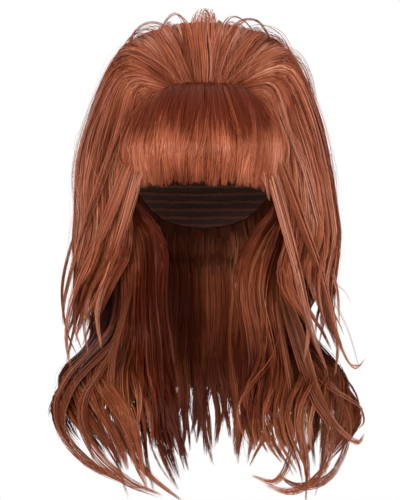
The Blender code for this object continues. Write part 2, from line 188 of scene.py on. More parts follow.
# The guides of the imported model: turns in degrees from the face, reaches, rises and drops as shares
Fringe = namedtuple(
    "Fringe",
    "root bend_turn bend_reach bend_rise bulge_turn bulge_reach tip_turn tip_reach tip_drop",
)
FRINGE_ROWS = (
    Fringe(-52, -50, 0.58, -0.12, -50, 0.82, -48, 0.765, 1.00),
    Fringe(-27, -27, 0.53, 0.01, -27, 0.83, -26, 0.755, 0.99),
    Fringe(0, 0, 0.50, 0.03, 0, 0.80, 0, 0.735, 0.98),
    Fringe(27, 27, 0.53, 0.01, 27, 0.83, 26, 0.755, 1.00),
    Fringe(52, 50, 0.58, -0.12, 50, 0.82, 48, 0.765, 1.10),
)

Layer = namedtuple(
    "Layer",
    "root crest_turn crest_reach crest_rise fullness wide_turn wide_reach "
    "jaw_turn jaw_reach tip_turn tip_reach tip_drop",
)
LAYER_ROWS = (
    Layer(-57, -56, 0.62, -0.02, 0.30, -53, 0.82, -56, 0.86, -66, 0.93, 0.94),
    Layer(-77, -73, 0.69, 0.26, 0.45, -72, 1.00, -73, 1.00, -78, 1.12, 1.00),
    Layer(-99, -93, 0.67, 0.56, 0.45, -95, 1.00, -96, 0.99, -98, 1.08, 0.94),
    Layer(-123, -113, 0.53, 0.85, 0.70, -120, 1.02, -120, 1.00, -118, 1.05, 1.00),
    Layer(-151, -136, 0.30, 0.98, 0.95, -149, 1.01, -149, 0.97, -148, 0.99, 1.02),
    Layer(180, 180, 0.14, 1.00, 1.00, 180, 1.00, 180, 0.94, 180, 0.96, 1.05),
    Layer(151, 136, 0.30, 0.98, 0.95, 149, 1.01, 149, 0.97, 148, 0.99, 1.02),
    Layer(123, 113, 0.53, 0.85, 0.70, 120, 1.02, 120, 1.00, 118, 1.03, 1.00),
    Layer(99, 93, 0.66, 0.56, 0.45, 95, 1.00, 96, 1.01, 98, 1.02, 0.92),
    Layer(77, 73, 0.68, 0.26, 0.45, 72, 0.99, 73, 1.02, 78, 1.05, 1.00),
    Layer(57, 56, 0.62, -0.02, 0.30, 53, 0.82, 53, 0.83, 64, 0.91, 0.94),
)

Under = namedtuple(
    "Under",
    "root jaw_turn jaw_fill shoulder_turn shoulder_fill flare_turn flare_reach hem_turn hem_reach hem_drop",
)
UNDER_LEFT_ROWS = (
    Under(-57, -50, 0.78, -41, 0.66, -24, 0.64, -10, 0.70, 0.99),
    Under(-74, -68, 0.90, -64, 0.84, -54, 0.90, -37, 0.84, 1.00),
    Under(-96, -96, 0.96, -94, 0.95, -93, 1.25, -92, 0.94, 0.93),
)
UNDER_BACK_ROWS = (
    Under(-103, -103, 0.96, -102, 0.95, -101, 1.21, -101, 0.95, 0.94),
    Under(-138, -140, 0.96, -145, 0.93, -148, 0.95, -150, 0.95, 0.98),
    Under(180, 180, 0.96, 180, 0.93, 180, 0.88, 180, 0.90, 1.00),
    Under(138, 140, 0.96, 145, 0.93, 148, 0.95, 150, 0.95, 0.98),
    Under(103, 103, 0.96, 102, 0.95, 101, 1.22, 101, 0.98, 0.94),
)
UNDER_RIGHT_ROWS = (
    Under(96, 96, 0.96, 94, 0.95, 93, 1.27, 92, 1.00, 0.93),
    Under(74, 68, 0.90, 63, 0.84, 56, 0.92, 50, 0.98, 1.00),
    Under(57, 50, 0.78, 39, 0.64, 35, 0.70, 40, 0.80, 0.95),
)

# The locks of each layer: where along the hair they part, and the shortest lock
Cut = namedtuple("Cut", "split shortest")
FRINGE_CUT = Cut(0.90, 0.98)
LAYER_CUT = Cut(11 / 14, 0.91)
UNDER_CUT = Cut(8 / 12, 0.88)
FRINGE_LOCKS = 12
SECTION_LOCKS = 4


def curve_weights(at, count):
    """Weights of count control points at each parameter, for a Catmull-Rom curve through them."""
    at = np.asarray(at, float).ravel()
    start = np.clip(np.floor(at).astype(int), 0, count - 2)
    t = at - start
    parts = (
        (-t + 2 * t**2 - t**3) / 2,
        (2 - 5 * t**2 + 3 * t**3) / 2,
        (t + 4 * t**2 - 3 * t**3) / 2,
        (-(t**2) + t**3) / 2,
    )
    weights = np.zeros((len(at), count))
    rows = np.arange(len(at))
    for shift, part in zip((-1, 0, 1, 2), parts):
        index = start + shift
        before, after = index < 0, index > count - 1
        inside = ~(before | after)
        weights[rows[inside], index[inside]] += part[inside]
        weights[rows[before], 0] += 2 * part[before]
        weights[rows[before], 1] -= part[before]
        weights[rows[after], count - 1] += 2 * part[after]
        weights[rows[after], count - 2] -= part[after]
    return weights


def plan(turn, reach):
    """The point in plan at a turn from the face, at a share of the hair's half width and depth."""
    angle = math.radians(turn)
    return np.array([reach * HALF_WIDTH * math.sin(angle), -reach * HALF_DEPTH * math.cos(angle)])


def rim_height(turn):
    """How high the cap's rim lies at each turn, smoothed between its drops."""
    turn = np.abs(np.asarray(turn, float))
    at = np.interp(turn, RIM_TURNS, range(len(RIM_TURNS)))
    return -HEAD_DOME * (curve_weights(at, len(RIM_DROPS)) @ np.array(RIM_DROPS)).reshape(turn.shape)


def turn_of(points):
    """The turn from the face of each point, on the cap's ellipse."""
    across = points[..., 0] / HEAD_HALF_WIDTH
    forward = -points[..., 1] / HEAD_HALF_DEPTH
    return np.degrees(np.arctan2(across, forward))


def cap_point(turn, height, loft):
    """The point at that height and turn, loft outside the cap."""
    angle = math.radians(turn)
    polar_cosine = np.clip((height + HEAD_DOME) / (CAP_DOME + loft), -1, 1)
    girth = math.sqrt(1 - polar_cosine**2)
    return np.array([
        (CAP_HALF_WIDTH + loft) * girth * math.sin(angle),
        -(CAP_HALF_DEPTH + loft) * girth * math.cos(angle),
        height,
    ])


def cap_top(x, y, loft):
    """The height of the cap's upper side over points in plan, loft above it."""
    spread = (x / (CAP_HALF_WIDTH + loft)) ** 2 + (y / (CAP_HALF_DEPTH + loft)) ** 2
    return -HEAD_DOME + (CAP_DOME + loft) * np.sqrt(np.clip(1 - spread, 0, 1))


def parting_point(root):
    """Where a guide leaves the parting, at a turn round its ellipse."""
    angle = math.radians(root)
    x = PARTING_HALF_WIDTH * math.sin(angle)
    y = PARTING_BACK - PARTING_HALF_DEPTH * math.cos(angle)
    return np.array([x, y, cap_top(x, y, PARTING_LIFT)])


def fringe_guide(row):
    """A fringe guide: parting, bend over the forehead, bulge and tip."""
    return np.array([
        parting_point(row.root),
        [*plan(row.bend_turn, row.bend_reach), row.bend_rise * CROWN_RISE],
        [*plan(row.bulge_turn, row.bulge_reach), -BULGE_DROP],
        [*plan(row.tip_turn, row.tip_reach), -row.tip_drop * FRINGE_DROP],
    ])


def layer_guide(row):
    """A crown guide: parting, lift, crest, turn-over, widest level, jaw and tip."""
    root = parting_point(row.root)
    crest = np.array([*plan(row.crest_turn, row.crest_reach), row.crest_rise * CROWN_RISE])
    wide = np.array([*plan(row.wide_turn, row.wide_reach), -WIDE_DROP])
    lift = root + (crest - root) * LIFT_SHARES
    fall = wide - crest
    quarter = math.sqrt(0.5)
    round_point = np.append(crest[:2] + fall[:2] * quarter, wide[2] - fall[2] * quarter)
    straight_point = (crest + wide) / 2
    return np.array([
        root,
        lift,
        crest,
        straight_point + (round_point - straight_point) * row.fullness,
        wide,
        [*plan(row.jaw_turn, row.jaw_reach), -JAW_DROP],
        [*plan(row.tip_turn, row.tip_reach), -row.tip_drop * LAYER_DROP],
    ])


def layer_thickness(height):
    """How thick the crown layer may be: down to the cap above, thinner where it hangs free."""
    heights = (-LAYER_DROP, -JAW_DROP, -WIDE_DROP, 0)
    clear_of_under = SIDE_LOFT - UNDER_RIM_LOFT - LAYER_GAP
    limits = (LAYER_THICKNESS / 3, LAYER_THICKNESS, clear_of_under, CROWN_RISE + CAP_DOME)
    return np.interp(height, heights, limits)


def room_reach(turn, height):
    """The reach of the room inside the crown layer, at a turn and a height below the widest level."""
    rows = sorted((row for row in LAYER_ROWS if row.root * turn >= 0), key=lambda row: abs(row.root))
    levels = (
        (-LAYER_DROP, [abs(r.tip_turn) for r in rows], [r.tip_reach for r in rows]),
        (-JAW_DROP, [abs(r.jaw_turn) for r in rows], [r.jaw_reach for r in rows]),
        (-WIDE_DROP, [abs(r.wide_turn) for r in rows], [r.wide_reach for r in rows]),
    )
    reaches = [np.interp(abs(turn), turns, shares) for _, turns, shares in levels]
    outer = np.interp(height, [level for level, _, _ in levels], reaches)
    return outer - (layer_thickness(height) + LAYER_GAP) / HALF_WIDTH


def under_guide(row):
    """An under guide: two points on the cap's side, then jaw, shoulder, flare and hem."""
    rim = float(rim_height(row.root))
    jaw_reach = row.jaw_fill * room_reach(row.jaw_turn, -JAW_DROP)
    shoulder_reach = row.shoulder_fill * room_reach(row.shoulder_turn, -SHOULDER_DROP)
    return np.array([
        cap_point(row.root, rim + UNDER_ROOT_RISE, UNDER_ROOT_LOFT),
        cap_point(row.root, rim, UNDER_RIM_LOFT),
        [*plan(row.jaw_turn, jaw_reach), -JAW_DROP],
        [*plan(row.shoulder_turn, shoulder_reach), -SHOULDER_DROP],
        [*plan(row.flare_turn, row.flare_reach), -FLARE_DROP],
        [*plan(row.hem_turn, row.hem_reach), -row.hem_drop * HAIR_DROP],
    ])


def away_from_head(points):
    """Directions from the cap's middle to each point, level below its widest part."""
    away = points.copy()
    away[:, 2] -= np.minimum(points[:, 2], -HEAD_DOME)
    return away


def unit(vectors):
    return vectors / np.maximum(np.linalg.norm(vectors, axis=-1, keepdims=True), 1e-9)


def depth_to_cap(points, loft):
    """How deep each point lies outside the cap's surface raised by loft, along its outward line."""
    away = away_from_head(points)
    loft = np.broadcast_to(loft, len(points))
    half_sizes = np.stack([CAP_HALF_WIDTH + loft, CAP_HALF_DEPTH + loft, CAP_DOME + loft], axis=1)
    share = 1 / np.sqrt(((away / half_sizes) ** 2).sum(axis=1))
    return np.linalg.norm(away, axis=1) * (1 - share)


def height_above_rim(points):
    return points[:, 2] - rim_height(turn_of(points))


def under_loft(points):
    """How far the under layer's outer face stands off the cap near its rim."""
    return np.interp(height_above_rim(points), (0, UNDER_ROOT_RISE), (UNDER_RIM_LOFT, UNDER_ROOT_LOFT))


def pressed_to_cap(points):
    """The under layer's outer points, set at their loft off the cap above its rim."""
    off = depth_to_cap(points, under_loft(points))
    near_cap = np.interp(height_above_rim(points), (-UNDER_ROOT_RISE, 0), (0, 1))
    return points - unit(away_from_head(points)) * (off * near_cap)[:, None]


def layer_floor(points):
    """The loft that the crown layer's inner face keeps, over the cap or over the under layer."""
    above_rim = height_above_rim(points)
    bare = np.interp(above_rim, (UNDER_ROOT_RISE, 1.6 * UNDER_ROOT_RISE), (1, 0))
    return SEAT_GAP + under_loft(points) * bare


def wave(points):
    """The soft wave of the hanging hair, the same for every layer at one place."""
    below = np.clip(-height_above_rim(points) / WAVE_START, 0, 1)
    phase = np.radians(2 * turn_of(points))
    swing = np.sin(2 * np.pi * points[:, 2] / WAVE_LENGTH + phase)
    return unit(away_from_head(points)) * (WAVE_HEIGHT * below * swing)[:, None]


def fringe_depth(points):
    """The fringe's thickness: down to the cap behind the parting, free below the cap's rim."""
    limits = np.interp(-points[:, 2], (0, BULGE_DROP, FRINGE_DROP), (0.03, FRINGE_THICKNESS, TIP_THICKNESS))
    return np.minimum(depth_to_cap(points, SEAT_GAP), limits)


def layer_depth(points):
    """The crown layer's thickness: down to the cap and, lower, to the under layer's roots."""
    first_depth = depth_to_cap(points, layer_floor(points))
    landing = points - unit(away_from_head(points)) * first_depth[:, None]
    return np.minimum(depth_to_cap(points, layer_floor(landing)), layer_thickness(points[:, 2]))


def under_depth(points):
    """The under layer's thickness: down to the cap at its roots, free below the rim."""
    below_rim = -height_above_rim(points)
    free = np.interp(below_rim, (0, 2 * UNDER_ROOT_RISE), (UNDER_RIM_LOFT - SEAT_GAP, UNDER_THICKNESS))
    tips = np.interp(points[:, 2], (-HAIR_DROP, -FLARE_DROP), (TIP_THICKNESS, UNDER_THICKNESS))
    seated = np.where(below_rim < UNDER_ROOT_RISE, depth_to_cap(points, SEAT_GAP), UNDER_THICKNESS)
    return np.minimum(np.minimum(free, tips), seated)


class Hair:
    """A layer of hair: guides from its roots to its tips, and a thickness inwards from them."""

    def __init__(self, guides, depth, cut, pressed=False):
        self.guides = np.array(guides)
        self.depth = depth
        self.cut = cut
        self.pressed = pressed
        knots = self.guides.shape[1]
        self.steps = np.linspace(0, knots - 1, 20 * knots)
        weights = curve_weights(self.steps, knots)
        paths = np.einsum("rsc,ns->rnc", self.guides, weights)
        travelled = np.linalg.norm(np.diff(paths, axis=1), axis=2).mean(axis=0).cumsum()
        self.length = travelled[-1]
        self.travelled = np.append(0, travelled) / self.length

    def surface(self, across, along):
        """Points of the layer's outer face, also a little past the guides' ends."""
        rows, knots = self.guides.shape[:2]
        end_speed = (self.steps[-1] - self.steps[-3]) / (self.travelled[-1] - self.travelled[-3])
        at = np.interp(along, self.travelled, self.steps) + np.maximum(along - 1, 0) * end_speed
        across_weights = curve_weights(across, rows)
        along_weights = curve_weights(at, knots)
        points = np.einsum("nr,rsc,ns->nc", across_weights, self.guides, along_weights, optimize=True)
        return pressed_to_cap(points) if self.pressed else points


def smooth_step(value):
    value = np.clip(value, 0, 1)
    return value * value * (3 - 2 * value)


def unevenness(lock):
    """A fixed value between -1 and 1 that differs from lock to lock."""
    return np.sin(2.4 * lock + 0.7 * np.sin(5.1 * lock))


SECTION_FIELDS = "hair first span locks tones sweep puff shade end_share side_tone_share"


class Section(namedtuple("Section", SECTION_FIELDS, defaults=(0.0, 0.0, 0.0, 1.0, 1.0))):
    """A stretch of a layer between two guides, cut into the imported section's locks.

    Its ends get end_share of the locks' uneven lengths, and its sides side_tone_share of the tones.
    """

    def place(self, offset, level, follow=1.0):
        """Where in the layer a point lies: offset 0 to 1 over the section, and share of its locks' length.

        With follow below 1, a strand keeps to the taper of its lock only in part.
        """
        cut = self.hair.cut
        spot = np.clip(offset, 0, 1 - 1e-6) * self.locks
        lock = np.floor(spot)
        beside = spot - lock - 0.5
        past = np.clip((level - cut.split) / (1 - cut.split), 0, None)
        narrowing = 1 - (1 - TIP_WIDTH_SHARE) * np.minimum(past, 1) ** 1.4
        sway = TIP_SWAY * past * unevenness(3 * lock + self.first)
        shift = (beside * (narrowing - 1) + sway) * follow
        end = (1 + cut.shortest + (1 - cut.shortest) * unevenness(lock + 7 * self.first)) / 2
        end = 1 - self.end_share * (1 - end)
        along = np.where(past > 0, cut.split + (end - cut.split) * past, level)
        swept = self.sweep * smooth_step((level - SWEEP_START) / SWEEP_SHARE)
        return self.first + self.span * (offset + swept + shift / self.locks), along


def s_phase(points, across):
    """Where points lie in the broad wave of the hanging hair, in step over each side."""
    return 2 * np.pi * points[..., 2] / S_WAVE_LENGTH + 1.1 * np.sign(points[..., 0]) + 3.0 * across


def s_wave(points, out, across):
    """The sideways shift of the broad wave, which fades towards the crown and the middle."""
    below = np.clip((-points[..., 2] - S_WAVE_DROP) / S_WAVE_FADE, 0, 1)
    beside = np.clip(np.abs(points[..., 0]) / S_WAVE_SIDE - 0.6, 0, 1)
    bend = np.sin(s_phase(points, across))
    sideways = np.stack([out[..., 1], -out[..., 0], 0 * out[..., 0]], axis=-1)
    return unit(sideways) * (S_WAVE * below * beside * bend)[..., None]


def groove(offset, locks):
    """How far the surface falls away between a section's locks."""
    return GROOVE_DEPTH * np.abs(2 * (offset * locks % 1.0) - 1) ** 2.5


def lock_core(section, lock, last):
    """The closed soft core of one lock, as a grid of rings, under its strands."""
    hair = section.hair
    turn = np.linspace(0.015, 0.985, CORE_COLUMNS)
    offset = (lock + np.concatenate([turn, turn[::-2]])) / section.locks
    inner = np.arange(len(offset)) >= CORE_COLUMNS
    level = np.repeat(np.linspace(0, last, CORE_STATIONS), len(offset))
    offset, inner = np.tile(offset, CORE_STATIONS), np.tile(inner, CORE_STATIONS)
    across, along = section.place(offset, level)
    smooth = hair.surface(across, along)
    depth = hair.depth(smooth)
    sunk = SHELL_DEPTH * np.interp(level, (0, 0.05, 0.9, 1), (0.6, 1, 0.8, 0.3))
    sunk = np.minimum(sunk + 0.6 * groove(offset, section.locks), 0.75 * depth)
    depth = np.where(inner, depth - 0.3 * np.minimum(SHELL_DEPTH, depth), sunk)
    depth = depth + (sunk - depth) * inner * smooth_step((level / last - 0.7) / 0.3) * 0.7
    out = unit(away_from_head(smooth))
    points = smooth - out * depth[:, None] + wave(smooth) + s_wave(smooth, out, across / len(hair.guides))
    return points.reshape(CORE_STATIONS, -1, 3)


# How one kind of strand grows on a section: its locks, the strands of each and the points of each
# strand. A pair is the least and most of a value that differs from lock to lock. start and end are
# shares of the hair's length, drift and half_width shares of the section's width, and tip_share is
# what the tip keeps of the lock's width. In millimetres, depth is how far the strands reach in, lift
# how far the lock stands proud, sway its side waves, curl how far its tip turns out, frizz the small
# waves and thickness a strand's width. cycles counts the side waves, follow says how closely the
# core's taper is kept, and tone how much the locks differ. Each row breaks where the names do.
Growth = namedtuple(
    "Growth",
    "locks strands steps start end drift half_width tip_share depth "
    "lift sway cycles curl frizz thickness follow tone",
)

# Combed locks first, then looser ones and single flyaway hairs, and the fringe's even hem last
FRINGE_GROWTHS = (
    Growth(
        96, 26, 14, (0, 0.05), (0.985, 1.03), 0.015, 0.015, 0.85, 3.6,
        (0.4, 1.2), (0.2, 0.8), (1, 2), (0, 0.5), 0.25, 0.75, 0.25, 0.04,
    ),
    Growth(
        18, 22, 14, (0, 0.25), (0.96, 1.02), 0.10, 0.018, 0.60, 1.5,
        (0.8, 2.0), (0.5, 2.0), (1, 2), (0, 1.0), 0.30, 0.65, 0.2, 0.07,
    ),
    Growth(
        40, 1, 14, (0, 0.4), (0.8, 1.02), 0.15, 0.0, 1.0, 0,
        (1.0, 4.0), (1.0, 3.0), (1, 3), (0, 2.0), 0.60, 0.30, 0.0, 0.08,
    ),
    Growth(
        150, 2, 12, (0.4, 0.7), (0.98, 1.04), 0.01, 0.004, 0.9, 1.5,
        (0.2, 1.0), (0.2, 0.8), (1, 2), (0, 0.5), 0.30, 0.50, 0.0, 0.06,
    ),
)
LAYER_GROWTHS = (
    Growth(
        14, 54, 22, (0, 0.03), (0.88, 1.05), 0.08, 0.062, 0.35, 5.0,
        (0.2, 1.8), (2.0, 6.0), (1.9, 2.5), (-2.0, 5.0), 0.45, 0.85, 0.5, 0.05,
    ),
    Growth(
        6, 34, 24, (0, 0.40), (0.74, 1.08), 0.40, 0.090, 0.16, 3.0,
        (1.5, 4.5), (4.0, 9.0), (1.7, 2.5), (0, 9.0), 0.45, 0.75, 0.0, 0.06,
    ),
    Growth(
        34, 1, 20, (0, 0.60), (0.50, 1.04), 0.50, 0.0, 1.0, 0,
        (3.0, 9.0), (3.0, 9.0), (1, 3), (0, 9.0), 1.00, 0.30, 0.0, 0.09,
    ),
)
UNDER_GROWTHS = (
    Growth(
        12, 40, 20, (0, 0.06), (0.92, 1.01), 0.08, 0.066, 0.40, 4.5,
        (0.2, 1.6), (2.0, 6.0), (1.6, 2.4), (-1.0, 5.0), 0.55, 0.85, 0.5, 0.06,
    ),
    Growth(
        6, 26, 22, (0.10, 0.50), (0.80, 1.01), 0.40, 0.090, 0.16, 3.0,
        (1.5, 4.0), (4.0, 9.0), (1.4, 2.4), (0, 9.0), 0.55, 0.75, 0.0, 0.08,
    ),
    Growth(
        18, 1, 20, (0.2, 0.6), (0.70, 1.01), 0.50, 0.0, 1.0, 0,
        (1.5, 5.0), (3.0, 6.0), (1, 3), (0, 4.0), 1.00, 0.30, 0.0, 0.09,
    ),
)

# The inner side of the under layer, a layer's free side edges, and the teased hair and the short
# wisps at the crown's roots
INNER_GROWTH = Growth(
    8, 26, 18, (0.12, 0.20), (0.90, 1.0), 0.08, 0.09, 0.45, 3.0,
    (0.2, 1.0), (1.0, 4.0), (1.6, 2.4), (0, 2.0), 0.60, 0.85, 0.7, 0.06,
)
EDGE_GROWTH = Growth(
    9, 16, 18, (0, 0.06), (0.90, 1.0), 0.03, 0.03, 0.45, 0,
    (0.2, 1.0), (1.0, 3.0), (1.6, 2.4), (0, 2.0), 0.40, 0.95, 0.5, 0.05,
)
TEASED_GROWTH = Growth(
    7, 26, 15, (0, 0.01), (0.30, 0.50), 0.12, 0.12, 0.40, 3.0,
    (0.5, 3.0), (0.5, 2.5), (1, 3), (0, 0), 0.50, 0.75, 0.0, 0.06,
)
WISP_GROWTH = Growth(
    5, 9, 16, (0, 0.03), (0.16, 0.31), 0.35, 0.05, 0.50, 2.0,
    (3.0, 10.0), (0.0, 3.0), (1, 3), (0, 0), 0.80, 0.50, 0.0, 0.06,
)

# How far a section's ends sweep sideways, as a share of its width, how far it puffs out low down,
# in millimetres, and the tone added towards the layer's free edge: painted shade where it is below 0
# and painted light where it is above 0
Style = namedtuple("Style", "sweep puff shade", defaults=(0.0, 0.0, 0.0))
STYLES = {
    "wing_layer_left": Style(0.25),
    "side_layer_left": Style(0.12),
    "side_layer_right": Style(-0.12),
    "wing_layer_right": Style(-0.25),
    "chest_length_left": Style(-0.25, 3.0, -0.36),
    "shoulder_length_left": Style(-0.55, 11.0, -0.24),
    "nape_side_left": Style(-0.30),
    "nape_side_right": Style(0.25),
    "shoulder_length_right": Style(0.30, 11.0, 0.05),
    "chest_length_right": Style(0.05, 3.0, -0.12),
}

# Locks that lie loose on the hair or stand out from it, by the section that they belong to. A row
# holds the number of strands, then the lock's radius, its tone and its path, in millimetres
LOOSE_LOCKS = {
    "fringe": (
        (30, 6.5, 0.50, ((44, -88, -50), (56, -90, -78), (62, -86, -98), (64, -82, -115))),
        (14, 4.0, 0.50, ((-50, -88, -50), (-58, -90, -76), (-64, -86, -94), (-68, -82, -106))),
    ),
    "back_layer_right": (
        (44, 14.0, 0.50, (
            (0, -39, 0), (-1, -36, 30), (-3, -26, 57), (0, -12, 78), (6, -2, 73), (12, 10, 54))),
        (10, 3.0, 0.42, (
            (5, -40, 4), (12, -34, 40), (19, -24, 64), (30, -14, 75), (46, -4, 66), (56, 8, 46))),
    ),
    "back_layer_left": (
        (14, 4.0, 0.42, (
            (-6, -40, 4), (-14, -34, 42), (-19, -24, 66), (-30, -14, 78), (-42, -4, 68), (-50, 8, 48))),
    ),
    "crown_back_layer_left": (
        (20, 12.0, 0.48, (
            (-9, -40, 2), (-26, -34, 34), (-44, -18, 60), (-62, -4, 62), (-76, 8, 48), (-84, 18, 26))),
        (12, 4.0, 0.42, (
            (-10, -40, 2), (-34, -32, 38), (-54, -16, 60), (-71, -2, 59), (-79, 8, 42), (-86, 17, 22))),
        (14, 2.5, 0.42, (
            (-18, -39, 24), (-34, -32, 58), (-54, -22, 68), (-71, -12, 60), (-77, -4, 42), (-76, 6, 24))),
    ),
    "crown_side_layer_left": (
        (24, 12.0, 0.44, (
            (-12, -40, 0), (-44, -38, 22), (-72, -24, 38), (-92, -10, 30), (-104, 0, 6), (-108, 8, -16))),
    ),
    "crown_back_layer_right": (
        (18, 4.0, 0.42, (
            (8, -40, 2), (20, -34, 40), (36, -18, 68), (54, -6, 71), (66, 4, 56), (74, 14, 36))),
        (20, 12.0, 0.48, (
            (10, -40, 2), (30, -34, 36), (52, -18, 60), (74, -4, 58), (88, 8, 42), (94, 18, 20))),
    ),
    "crown_side_layer_right": (
        (24, 12.0, 0.44, (
            (12, -40, 0), (46, -38, 24), (76, -24, 40), (98, -10, 30), (111, 0, 0), (114, 8, -22))),
    ),
    "side_layer_right": (
        (4, 4.0, 0.45, ((70, -20, 30), (92, -10, 30), (107, -5, 21), (113, 0, 5), (112, 2, -8))),
        (4, 3.0, 0.46, ((112, -16, -170), (127, -16, -192), (142, -14, -204), (152, -14, -222))),
        (5, 4.0, 0.46, ((112, -20, -190), (132, -18, -216), (148, -16, -250), (160, -16, -294))),
        (24, 3.5, 0.50, (
            (112, -42, -190), (126, -36, -225), (137, -32, -258),
            (146, -28, -277), (155, -26, -281), (163, -24, -273))),
    ),
    "side_layer_left": (
        (30, 4.0, 0.50, (
            (-112, -20, -70), (-120, -20, -118), (-136, -18, -160),
            (-145, -16, -203), (-140, -18, -245), (-128, -22, -272))),
        (24, 4.0, 0.46, (
            (-100, -45, -130), (-112, -42, -170), (-128, -36, -206),
            (-131, -34, -240), (-122, -38, -266))),
        (4, 3.0, 0.46, ((-116, -18, -180), (-133, -16, -232), (-140, -18, -262), (-135, -22, -286))),
    ),
    "wing_layer_left": (
        (60, 8.0, 0.56, (
            (-58, -76, -30), (-70, -79, -95), (-85, -74, -150),
            (-100, -64, -195), (-107, -58, -228), (-103, -56, -262))),
        (40, 6.0, 0.52, (
            (-72, -64, -40), (-90, -66, -130), (-107, -56, -190), (-120, -46, -232), (-117, -44, -270))),
        (50, 8.0, 0.50, (
            (-66, -76, -20), (-80, -79, -90), (-98, -72, -138), (-118, -59, -178),
            (-133, -46, -215), (-139, -40, -252), (-134, -38, -282))),
        (40, 6.0, 0.40, (
            (-80, -66, -10), (-98, -65, -80), (-116, -55, -130),
            (-130, -43, -172), (-141, -34, -212), (-143, -30, -240))),
    ),
    "wing_layer_right": (
        (60, 8.0, 0.56, (
            (58, -76, -30), (70, -79, -95), (84, -74, -150),
            (97, -64, -200), (104, -58, -240), (99, -58, -275))),
        (40, 6.0, 0.52, (
            (72, -64, -40), (93, -66, -120), (112, -52, -175), (122, -42, -215), (114, -44, -262))),
        (50, 8.0, 0.44, (
            (66, -76, -20), (82, -79, -90), (98, -72, -138), (114, -60, -180),
            (125, -48, -220), (134, -38, -258), (131, -36, -290))),
        (40, 6.0, 0.58, (
            (80, -66, -10), (100, -65, -80), (112, -56, -125),
            (122, -46, -165), (134, -35, -205), (136, -31, -240))),
        (50, 7.0, 0.52, (
            (82, -58, -90), (86, -66, -150), (95, -66, -205), (109, -57, -250), (122, -50, -282))),
    ),
    "shoulder_length_right": (
        (20, 3.5, 0.54, (
            (94, -40, -255), (120, -42, -296), (144, -36, -312),
            (157, -32, -322), (161, -32, -336), (155, -32, -344))),
        (44, 7.0, 0.54, (
            (98, -36, -250), (132, -36, -305), (146, -30, -345),
            (128, -44, -388), (96, -60, -398), (72, -70, -386))),
    ),
    "chest_length_right": (
        (40, 7.0, 0.52, (
            (86, -46, -190), (96, -54, -245), (110, -56, -296),
            (128, -50, -334), (152, -44, -356), (161, -40, -347))),
        (5, 2.0, 0.48, (
            (92, -48, -230), (66, -70, -272), (42, -88, -300),
            (32, -96, -323), (40, -94, -348), (56, -88, -364))),
        (44, 7.0, 0.56, (
            (86, -48, -205), (104, -58, -298), (126, -54, -340),
            (118, -66, -380), (88, -78, -401), (58, -84, -393))),
        (30, 5.0, 0.56, (
            (82, -48, -215), (88, -70, -325), (84, -80, -366), (70, -86, -390), (46, -90, -384))),
    ),
    "chest_length_left": (
        (40, 6.0, 0.43, (
            (-82, -50, -190), (-92, -64, -290), (-82, -78, -345), (-56, -88, -382), (-22, -98, -408))),
    ),
    "shoulder_length_left": (
        (44, 7.0, 0.44, (
            (-98, -36, -250), (-136, -34, -305), (-142, -30, -345), (-112, -46, -378), (-66, -68, -400))),
        (40, 7.0, 0.44, (
            (-104, -30, -240), (-136, -30, -288), (-150, -26, -318),
            (-144, -34, -349), (-120, -48, -375), (-88, -66, -391))),
        (50, 9.0, 0.44, (
            (-100, -46, -260), (-122, -56, -318), (-112, -66, -358), (-80, -80, -388), (-40, -94, -404))),
    ),
}


Strands = namedtuple("Strands", "points out width tone level")


def on_face(section, growth, offset, level):
    """Points on the waved face of the hair, and their outward directions, depths and crests."""
    hair = section.hair
    across, along = section.place(offset, level, growth.follow)
    across = np.clip(across, -0.08, len(hair.guides) - 0.92)
    smooth = hair.surface(across.ravel(), along.ravel())
    out = unit(away_from_head(smooth)).reshape(*level.shape, 3)
    thick = hair.depth(smooth).reshape(level.shape)
    points = (smooth + wave(smooth)).reshape(*level.shape, 3)
    share_across = across / len(hair.guides)
    # crest runs from 1 on the broad wave's crests, which get a painted highlight, to -1 in its troughs,
    # which get painted shade
    crest = np.cos(s_phase(points, share_across)) * np.clip((-points[..., 2] - 0.10) / 0.06, 0, 1)
    return points + s_wave(points, out, share_across), out, thick, across, crest


def place_tone(section, offset, level, across, crest):
    """What a place adds to its strands' tones, painted light and shade among them."""
    field = 0.06 * np.sin(2.3 * across + 7 * level) + 0.04 * np.sin(5.9 * across - 11 * level + 1.0)
    shade = section.shade * (1 - smooth_step(offset if section.first == 0 else 1 - offset))
    tone_share = 1 + (section.side_tone_share - 1) * (2 * offset - 1) ** 2
    return field + shade + CREST_LIGHT_AND_SHADE * crest + np.interp(level, *zip(*section.tones)) * tone_share


